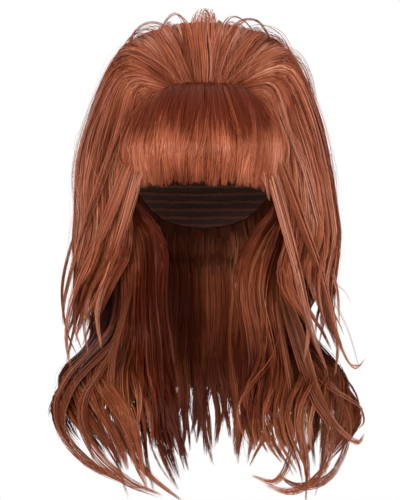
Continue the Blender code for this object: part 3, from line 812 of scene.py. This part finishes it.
def grow(section, growth, rng, inside=False, edge=None):
    """The strands of one kind on a section: their paths, outward directions, widths and tones.

    inside puts them on the hair's inner face, and edge on the side wall at offset 0 or 1.
    """

    def each_lock(limits):
        return rng.uniform(*limits, growth.locks).repeat(growth.strands)[:, None]

    count = growth.locks * growth.strands
    share = np.linspace(0, 1, growth.steps)[None, :]
    tiles = (np.arange(growth.locks) + rng.uniform(0.3, 0.7, growth.locks)) / growth.locks
    centre = tiles.repeat(growth.strands)[:, None]
    if edge is not None:
        centre = np.full_like(centre, edge)
    drift = each_lock((-growth.drift, growth.drift))
    start, end, lift = each_lock(growth.start), each_lock(growth.end), each_lock(growth.lift)
    sway, cycles, curl = each_lock(growth.sway), each_lock(growth.cycles), each_lock(growth.curl)
    phase = 2.2 * centre * section.span + each_lock((-0.8, 0.8)) + section.first
    lock_tone = rng.normal(0, growth.tone, growth.locks).repeat(growth.strands)[:, None]

    # Where each strand runs over the section
    beside = rng.uniform(-1, 1, (count, 1))
    inward = rng.random((count, 1)) ** 1.4
    start = start + 0.03 * rng.random((count, 1)) ** 2
    end = end - (1 - growth.tip_share) * 0.06 * rng.random((count, 1)) ** 1.5
    level = start + (end - start) * share
    spread = growth.half_width * np.interp(share, (0, 0.12, 0.6, 1), (1.3, 1, 0.9, growth.tip_share))
    offset = centre + drift * smooth_step(share) + beside * spread
    points, out, thick, across, crest = on_face(section, growth, offset, level)

    # How far it stands out of the layer's face, or lies in it
    loose = smooth_step((level - 0.2) / 0.6)
    swell = np.interp(share, (0, 0.06, 0.75, 1), (0.0, 1.0, 0.9, growth.tip_share))
    rise = lift * MM * np.sin(np.pi * share**0.7) ** 0.5
    rise = rise - inward * growth.depth * MM * swell - 0.18 * groove(offset, section.locks)
    cycle = 2 * np.pi * cycles * level + phase
    rise = rise + 0.5 * sway * MM * loose * np.cos(cycle)
    rise = rise + curl * MM * smooth_step((level - 0.80) / 0.22) ** 1.5
    rise = rise + section.puff * MM * np.exp(-(((points[..., 2] + PUFF_DROP) / PUFF_REACH) ** 2))
    if inside:
        rise = -thick - 0.5 * rise - 0.3 * MM
    elif edge is not None:
        rise = 0.4 * rise - inward * 0.9 * thick
    else:
        rise = np.maximum(rise, -0.8 * thick)
    points = points + out * rise[..., None]

    # How it sways and frizzes along the face
    tangent = unit(np.gradient(points, axis=1))
    side = unit(np.cross(tangent, out))
    lateral = sway * MM * loose * np.sin(cycle)
    for _ in range(2):
        turns = rng.uniform(1.5, 6.0, (count, 1))
        begin = rng.uniform(0, 2 * np.pi, (count, 1))
        lateral = lateral + growth.frizz * MM * (0.3 + loose) * np.sin(2 * np.pi * turns * level + begin)
    points = points + side * lateral[..., None]

    # Its width, and its tone by lock, strand and place, with painted shade on deeper and inner strands
    width = growth.thickness * MM * rng.uniform(*WIDTH_SHARES, (count, 1))
    width = width * np.interp(share, (0, 0.04, 0.72, 0.93, 1), (0.5, 1.0, 1.0, 0.6, 0.08))
    tone = MIDDLE_TONE + lock_tone + rng.normal(0, STRAND_TONE_SPREAD, (count, 1))
    tone = tone - INWARD_SHADE * inward + place_tone(section, offset, level, across, crest)
    if inside:
        tone = tone - INSIDE_SHADE
    return Strands(points, out if edge is None else side, width, tone, level)


def loose_lock(count, radius, lock_tone, path, rng):
    """A loose lock's strands, round its own path."""
    path = np.array(path) * MM
    share = np.linspace(0, 1, LOOSE_STEPS)
    weights = curve_weights(share * (len(path) - 1), len(path))
    line = weights @ path
    out = unit(away_from_head(line))
    side = unit(np.cross(np.gradient(line, axis=0), out))
    angle = rng.uniform(0, 2 * np.pi, (count, 1))
    ring = np.sqrt(rng.random((count, 1)))
    end = 1 - 0.12 * rng.random((count, 1)) ** 2
    reach = radius * MM * ring * np.interp(share, (0, 0.2, 0.55, 1), (0.7, 1.1, 0.9, 0.22))
    swing = LOOSE_SWING * np.sin(2 * np.pi * rng.uniform(0.5, 2.0, (count, 1)) * share + angle)
    points = line + side * (reach * np.cos(angle) + swing)[..., None]
    points = points + out * (0.5 * reach * np.sin(angle))[..., None]
    points = points - out * (LOOSE_TUCK * smooth_step(1 - share / LOOSE_TUCK_SHARE))[:, None]
    steps = end * share * (LOOSE_STEPS - 1)
    low = np.minimum(steps.astype(int), LOOSE_STEPS - 2)
    rows = np.arange(count)[:, None]
    part = (steps - low)[..., None]
    points = points[rows, low] * (1 - part) + points[rows, low + 1] * part
    width = LOOSE_WIDTH * rng.uniform(*WIDTH_SHARES, (count, 1))
    width = width * np.interp(share, (0, 0.20, 0.72, 0.93, 1), (0.2, 1.0, 1.0, 0.6, 0.1))
    # The strands grow lighter towards the tips: a painted highlight
    tone = lock_tone - 0.03 + rng.normal(0, 0.11, (count, 1)) + 0.10 * share
    level = 0.15 + 0.8 * np.broadcast_to(share, (count, LOOSE_STEPS))
    return Strands(points, np.broadcast_to(out, points.shape), width, tone, level)


def pulled_to_parting(strands, rng, length):
    """The strands with their roots brought in towards the parting's middle, down on the cap."""
    root = strands.points[:, :1]
    x = root[..., 0] * rng.uniform(0.45, 0.97, (len(root), 1)) + rng.normal(0, ROOT_SCATTER, (len(root), 1))
    y = PARTING_BACK + (root[..., 1] - PARTING_BACK) * 0.25 + rng.normal(0, ROOT_SCATTER, (len(root), 1))
    centre = np.stack([x, y, cap_top(x, y, ROOT_LOFT)], axis=-1)
    pull = np.clip(1 - strands.level * length / PULL_LENGTH, 0, 1)[..., None] ** 1.6
    return strands._replace(points=strands.points + (centre - root) * pull)


def ribbons(strands, rng):
    """Left and right edges of flat strands along the paths, each rolled a little about its path."""
    points, out = strands.points, strands.out
    tangent = unit(np.gradient(points, axis=1))
    side = unit(np.cross(tangent, out))
    normal = np.cross(side, tangent)
    twist = np.linspace(-1, 1, points.shape[1])
    roll = rng.normal(0, ROLL_SPREAD, (len(points), 1))
    roll = roll + rng.normal(0, 0.4, (len(points), 1)) * twist
    edge = side * np.cos(roll)[..., None] + normal * np.sin(roll)[..., None]
    half = edge * (strands.width / 2)[..., None]
    return np.stack([points - half, points + half], axis=2)


def new_object(name, data):
    """A new object in the scene."""
    item = bpy.data.objects.new(name, data)
    bpy.context.scene.collection.objects.link(item)
    return item


class MeshParts:
    """Grids of points collected into one mesh, with a tone and a share along the hair at each point."""

    def __init__(self):
        self.grids = []
        self.total = 0

    def add(self, points, faces, tone, along, uv, material):
        points, faces = points.reshape(-1, 3), faces.reshape(-1, 4)
        tone = np.broadcast_to(tone, along.shape).reshape(-1)
        slots = np.full(len(faces), material)
        self.grids.append((points, faces + self.total, tone, along.reshape(-1), uv.reshape(-1, 2), slots))
        self.total += len(points)

    def add_strands(self, strands, rng):
        edges = ribbons(strands, rng)
        count, steps = edges.shape[:2]
        index = np.arange(count * steps * 2).reshape(count, steps, 2)
        faces = np.stack([index[:, :-1, 0], index[:, :-1, 1], index[:, 1:, 1], index[:, 1:, 0]], axis=-1)
        along = np.repeat(strands.level[..., None], 2, axis=2)
        tone = np.repeat(strands.tone[..., None], 2, axis=2)
        across = np.broadcast_to(np.array([0.0, 1.0]), along.shape)
        uv = np.stack([across + 7.0 * tone[:, :1, :1], along], axis=-1)
        self.add(edges, faces, tone, along, uv, 0)

    def add_core(self, rings):
        stations, ring = rings.shape[:2]
        index = np.arange(stations * ring).reshape(stations, ring)
        beside = np.roll(index, -1, axis=1)
        faces = np.stack([index[:-1], beside[:-1], beside[1:], index[1:]], axis=-1).reshape(-1, 4)
        # The ends are closed by quads across the ring
        side = np.arange(ring // 2 - 1)
        for end in (index[0], index[-1]):
            caps = np.stack([end[side], end[side + 1], end[ring - 2 - side], end[ring - 1 - side]], axis=-1)
            faces = np.concatenate([faces, caps])
        along = np.repeat(np.linspace(0, 1, stations)[:, None], ring, axis=1)
        across = np.repeat(np.linspace(0, 20, ring)[None, :], stations, axis=0)
        self.add(rings, faces, CORE_TONE, along, np.stack([across, along], axis=-1), 1)

    def build(self, name, materials):
        points, faces, tone, along, uv, slots = map(np.concatenate, zip(*self.grids))
        mesh = bpy.data.meshes.new(name)
        mesh.vertices.add(len(points))
        mesh.vertices.foreach_set("co", points.astype(np.float32).ravel())
        mesh.loops.add(faces.size)
        mesh.loops.foreach_set("vertex_index", faces.astype(np.int32).ravel())
        mesh.polygons.add(len(faces))
        mesh.polygons.foreach_set("loop_start", np.arange(0, faces.size, 4, dtype=np.int32))
        mesh.polygons.foreach_set("material_index", slots.astype(np.int32))
        for attribute, values in (("tone", tone), ("along", along)):
            layer = mesh.attributes.new(attribute, "FLOAT", "POINT")
            layer.data.foreach_set("value", values.astype(np.float32))
        uv_map = mesh.uv_layers.new(name="strand")
        uv_map.data.foreach_set("uv", uv[faces.ravel()].astype(np.float32).ravel())
        mesh.update(calc_edges=True)
        mesh.validate()
        mesh.shade_smooth()
        for material in materials:
            mesh.materials.append(material)
        return new_object(name, mesh)


def hair_piece(node, section, growths, seed, materials, slot):
    """The visible piece of one section, which replaces its node."""
    rng = np.random.default_rng(seed)
    parts = MeshParts()
    from_cap = growths is UNDER_GROWTHS

    def rooted(strands):
        return strands if from_cap else pulled_to_parting(strands, rng, section.hair.length)

    core_end = CORE_ENDS.get(node, CORE_ENDS[slot])
    for lock in range(section.locks):
        parts.add_core(lock_core(section, lock, core_end))
    for growth in growths:
        parts.add_strands(rooted(grow(section, growth, rng)), rng)
    if from_cap:
        parts.add_strands(grow(section, INNER_GROWTH, rng, inside=True), rng)
    last_first = len(section.hair.guides) - 1 - section.span
    for edge, free in ((0, section.first == 0), (1, section.first == last_first)):
        if free:
            parts.add_strands(rooted(grow(section, EDGE_GROWTH, rng, edge=edge)), rng)
    if "crown" in node or "back" in node:
        for growth in (TEASED_GROWTH, WISP_GROWTH):
            parts.add_strands(rooted(grow(section, growth, rng)), rng)
    for row in LOOSE_LOCKS.get(node, ()):
        parts.add_strands(loose_lock(*row, rng), rng)
    piece = parts.build(f"{node}_strands", materials)
    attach(piece, "root")
    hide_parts(node)


def new_material(name):
    material = bpy.data.materials.new(name)
    material.use_nodes = True
    nodes = material.node_tree.nodes
    return material, nodes, material.node_tree.links, nodes["Principled BSDF"]


def set_values(node, values):
    """Values on a shader node's input sockets."""
    for socket, value in values.items():
        node.inputs[socket].default_value = value


def add_node(nodes, kind, values):
    """A new shader node with such values."""
    node = nodes.new(f"ShaderNode{kind}")
    set_values(node, values)
    return node


def add_ramp(nodes, links, value, stops):
    """The colour at a value between stops, each a position and a colour."""
    ramp = nodes.new("ShaderNodeValToRGB")
    elements = ramp.color_ramp.elements
    for position, _ in stops[1:-1]:
        elements.new(position)
    for element, (position, colour) in zip(elements, stops):
        element.position = position
        element.color = (*colour, 1)
    links.new(value, ramp.inputs["Fac"])
    return ramp.outputs["Color"]


def add_attribute(nodes, name):
    """The value that each point of the mesh holds under a name."""
    attribute = nodes.new("ShaderNodeAttribute")
    attribute.attribute_name = name
    return attribute.outputs["Fac"]


def add_scaled(nodes, links, base, part, weight):
    """The base value with a share of another value added."""
    total = nodes.new("ShaderNodeMath")
    total.operation = "MULTIPLY_ADD"
    total.inputs[1].default_value = weight
    links.new(part, total.inputs[0])
    links.new(base, total.inputs[2])
    return total.outputs["Value"]


def add_bump(nodes, links, height, strength, distance, shader):
    bump = add_node(nodes, "Bump", {"Strength": strength, "Distance": distance})
    links.new(height, bump.inputs["Height"])
    links.new(bump.outputs["Normal"], shader.inputs["Normal"])


def hair_material(name, tint, roughness):
    """Fibre with its own tone for each strand, painted shade at the roots and fine lines along it."""
    material, nodes, links, shader = new_material(name)
    place = nodes.new("ShaderNodeTexCoord")
    patches = add_node(nodes, "TexNoise", {"Scale": PATCH_SCALE, "Detail": 3.0})
    links.new(place.outputs["Object"], patches.inputs["Vector"])
    strand_map = nodes.new("ShaderNodeUVMap")
    strand_map.uv_map = "strand"
    stretch = add_node(nodes, "Mapping", {"Scale": FIBRE_SCALE})
    fibres = add_node(nodes, "TexNoise", {"Scale": 1.0, "Detail": 2.0})
    links.new(strand_map.outputs["UV"], stretch.inputs["Vector"])
    links.new(stretch.outputs["Vector"], fibres.inputs["Vector"])
    # All the fibre is 0.23 darker in tone, and its roots down to 0.42: painted shade at the roots
    root = add_node(nodes, "MapRange", {"From Max": 0.12, "To Min": -0.42, "To Max": -0.23})
    links.new(add_attribute(nodes, "along"), root.inputs["Value"])

    tone = add_scaled(nodes, links, add_attribute(nodes, "tone"), patches.outputs["Fac"], PATCH_TONE)
    tone = add_scaled(nodes, links, tone, fibres.outputs["Fac"], FIBRE_TONE)
    tone = add_scaled(nodes, links, tone, root.outputs["Result"], 1.0)
    stops = [(position, np.array(colour) * tint) for position, colour in FIBRE_COLOURS]
    links.new(add_ramp(nodes, links, tone, stops), shader.inputs["Base Color"])
    add_bump(nodes, links, fibres.outputs["Fac"], 0.25, 0.0004, shader)
    set_values(shader, {"Roughness": roughness, **SHINE})
    tangent = nodes.new("ShaderNodeTangent")
    tangent.direction_type = "UV_MAP"
    tangent.uv_map = "strand"
    links.new(tangent.outputs["Tangent"], shader.inputs["Tangent"])
    return material


def net_material():
    """The cap's dark elastic net: crossed threads, with rows of sewn hair wefts round it."""
    material, nodes, links, shader = new_material("cap_net")
    place = nodes.new("ShaderNodeTexCoord")

    def bands(direction, scale, distortion):
        lines = add_node(nodes, "TexWave", {"Scale": scale, "Distortion": distortion, "Detail Scale": 3.0})
        lines.bands_direction = direction
        links.new(place.outputs["Object"], lines.inputs["Vector"])
        return lines.outputs["Fac"]

    net = nodes.new("ShaderNodeMath")
    net.operation = "MAXIMUM"
    links.new(bands("X", THREAD_BANDS, 0.5), net.inputs[0])
    links.new(bands("Z", THREAD_BANDS, 0.5), net.inputs[1])
    net_colour = add_ramp(nodes, links, net.outputs["Value"], ((0, NET_DARK), (1, NET_LIGHT)))
    wefts = add_ramp(nodes, links, bands("Z", WEFT_BANDS, 1.4), ((0.62, (0, 0, 0)), (0.80, (1, 1, 1))))
    mix = nodes.new("ShaderNodeMix")
    mix.data_type = "RGBA"
    mix.inputs["B"].default_value = (*WEFT_COLOUR, 1)
    links.new(wefts, mix.inputs["Factor"])
    links.new(net_colour, mix.inputs["A"])
    links.new(mix.outputs["Result"], shader.inputs["Base Color"])
    height = add_scaled(nodes, links, net.outputs["Value"], wefts, 3.0)
    add_bump(nodes, links, height, 0.7, 0.0005, shader)
    shader.inputs["Roughness"].default_value = 0.85
    return material


def add_light(name, width, power, place):
    """A square soft light, aimed at the hair."""
    light = bpy.data.lights.new(name, "AREA")
    light.size = width
    light.energy = power
    lamp = new_object(name, light)
    lamp.location = place
    x, y, z = np.array(LIGHT_TARGET) - np.array(place)
    lamp.rotation_euler = (math.atan2(math.hypot(x, y), -z), 0, math.atan2(y, x) - math.pi / 2)


def add_stage():
    """A level camera in front, a pale floor well below, and soft light from all round."""
    camera_data = bpy.data.cameras.new("camera")
    camera_data.sensor_width = CAMERA_SENSOR
    camera_data.lens = CAMERA_LENS
    camera = new_object("camera", camera_data)
    camera.location = CAMERA_PLACE
    camera.rotation_euler = (math.pi / 2, 0, 0)
    bpy.context.scene.camera = camera

    floor_mesh = bpy.data.meshes.new("floor")
    corners = [(FLOOR_REACH * x, FLOOR_REACH * y, 0) for x, y in ((-1, -1), (1, -1), (1, 1), (-1, 1))]
    floor_mesh.from_pydata(corners, [], [(0, 1, 2, 3)])
    floor = new_object("floor", floor_mesh)
    floor.location = (0, 0, -FLOOR_DROP)
    paint, _, _, shader = new_material("floor_paint")
    set_values(shader, {"Base Color": (0.86, 0.86, 0.86, 1), "Roughness": 0.9})
    floor_mesh.materials.append(paint)

    world = bpy.data.worlds.new("studio")
    world.use_nodes = True
    set_values(world.node_tree.nodes["Background"], {"Color": (1, 1, 1, 1), "Strength": 1.0})
    bpy.context.scene.world = world
    bpy.context.scene.view_settings.view_transform = "Standard"
    for light in LIGHTS:
        add_light(*light)


def layer_tones(name):
    """The tones along a section of the crown layer: painted light and shade at its roots, by where it
    grows.
    """
    root = ROOT_TONES.get(name.split("_")[0], ROOT_TONE)
    return ((0, root - 0.08), (0.06, root + 0.01), (0.13, root / 3 + 0.05), (0.30, 0.02))


def main():
    add_stage()
    # The cores and the under hair take darker copies of the fibre: painted shade
    hair = (hair_material("copper_hair", HAIR_TINT, 0.38), hair_material("copper_core", CORE_SHADE_TINT, 0.60))
    under = (hair_material("under_hair", UNDER_SHADE_TINT, 0.40), hair_material("under_core", UNDER_CORE_SHADE_TINT, 0.60))
    bpy.data.objects["cap"].data.materials[0] = net_material()

    fringe = Hair([fringe_guide(row) for row in FRINGE_ROWS], fringe_depth, FRINGE_CUT)
    last = len(FRINGE_ROWS) - 1
    # The fringe's painted root shade and highlight band are weaker towards its sides
    whole = Section(fringe, 0, last, FRINGE_LOCKS, FRINGE_TONES, end_share=0.4, side_tone_share=0.35)
    hair_piece("fringe", whole, FRINGE_GROWTHS, FRINGE_SEED, hair, "hair")

    layer = Hair([layer_guide(row) for row in LAYER_ROWS], layer_depth, LAYER_CUT)
    places = ("wing", "side", "crown_side", "crown_back", "back")
    names = [f"{place}_layer_left" for place in places]
    names += [f"{place}_layer_right" for place in reversed(places)]
    for first, name in enumerate(names):
        style = STYLES.get(name, Style())
        section = Section(layer, first, 1, SECTION_LOCKS, layer_tones(name), *style)
        hair_piece(name, section, LAYER_GROWTHS, LAYER_SEED + first, hair, "hair")

    for rows, names, seed in (
        (UNDER_LEFT_ROWS, ("chest_length_left", "shoulder_length_left"), 40),
        (UNDER_BACK_ROWS, ("nape_side_left", "nape_left", "nape_right", "nape_side_right"), 50),
        (UNDER_RIGHT_ROWS, ("shoulder_length_right", "chest_length_right"), 60),
    ):
        below = Hair([under_guide(row) for row in rows], under_depth, UNDER_CUT, pressed=True)
        for first, name in enumerate(names):
            style = STYLES.get(name, Style())
            section = Section(below, first, 1, SECTION_LOCKS, UNDER_TONES, *style)
            hair_piece(name, section, UNDER_GROWTHS, seed + first, under, "under_hair")


main()
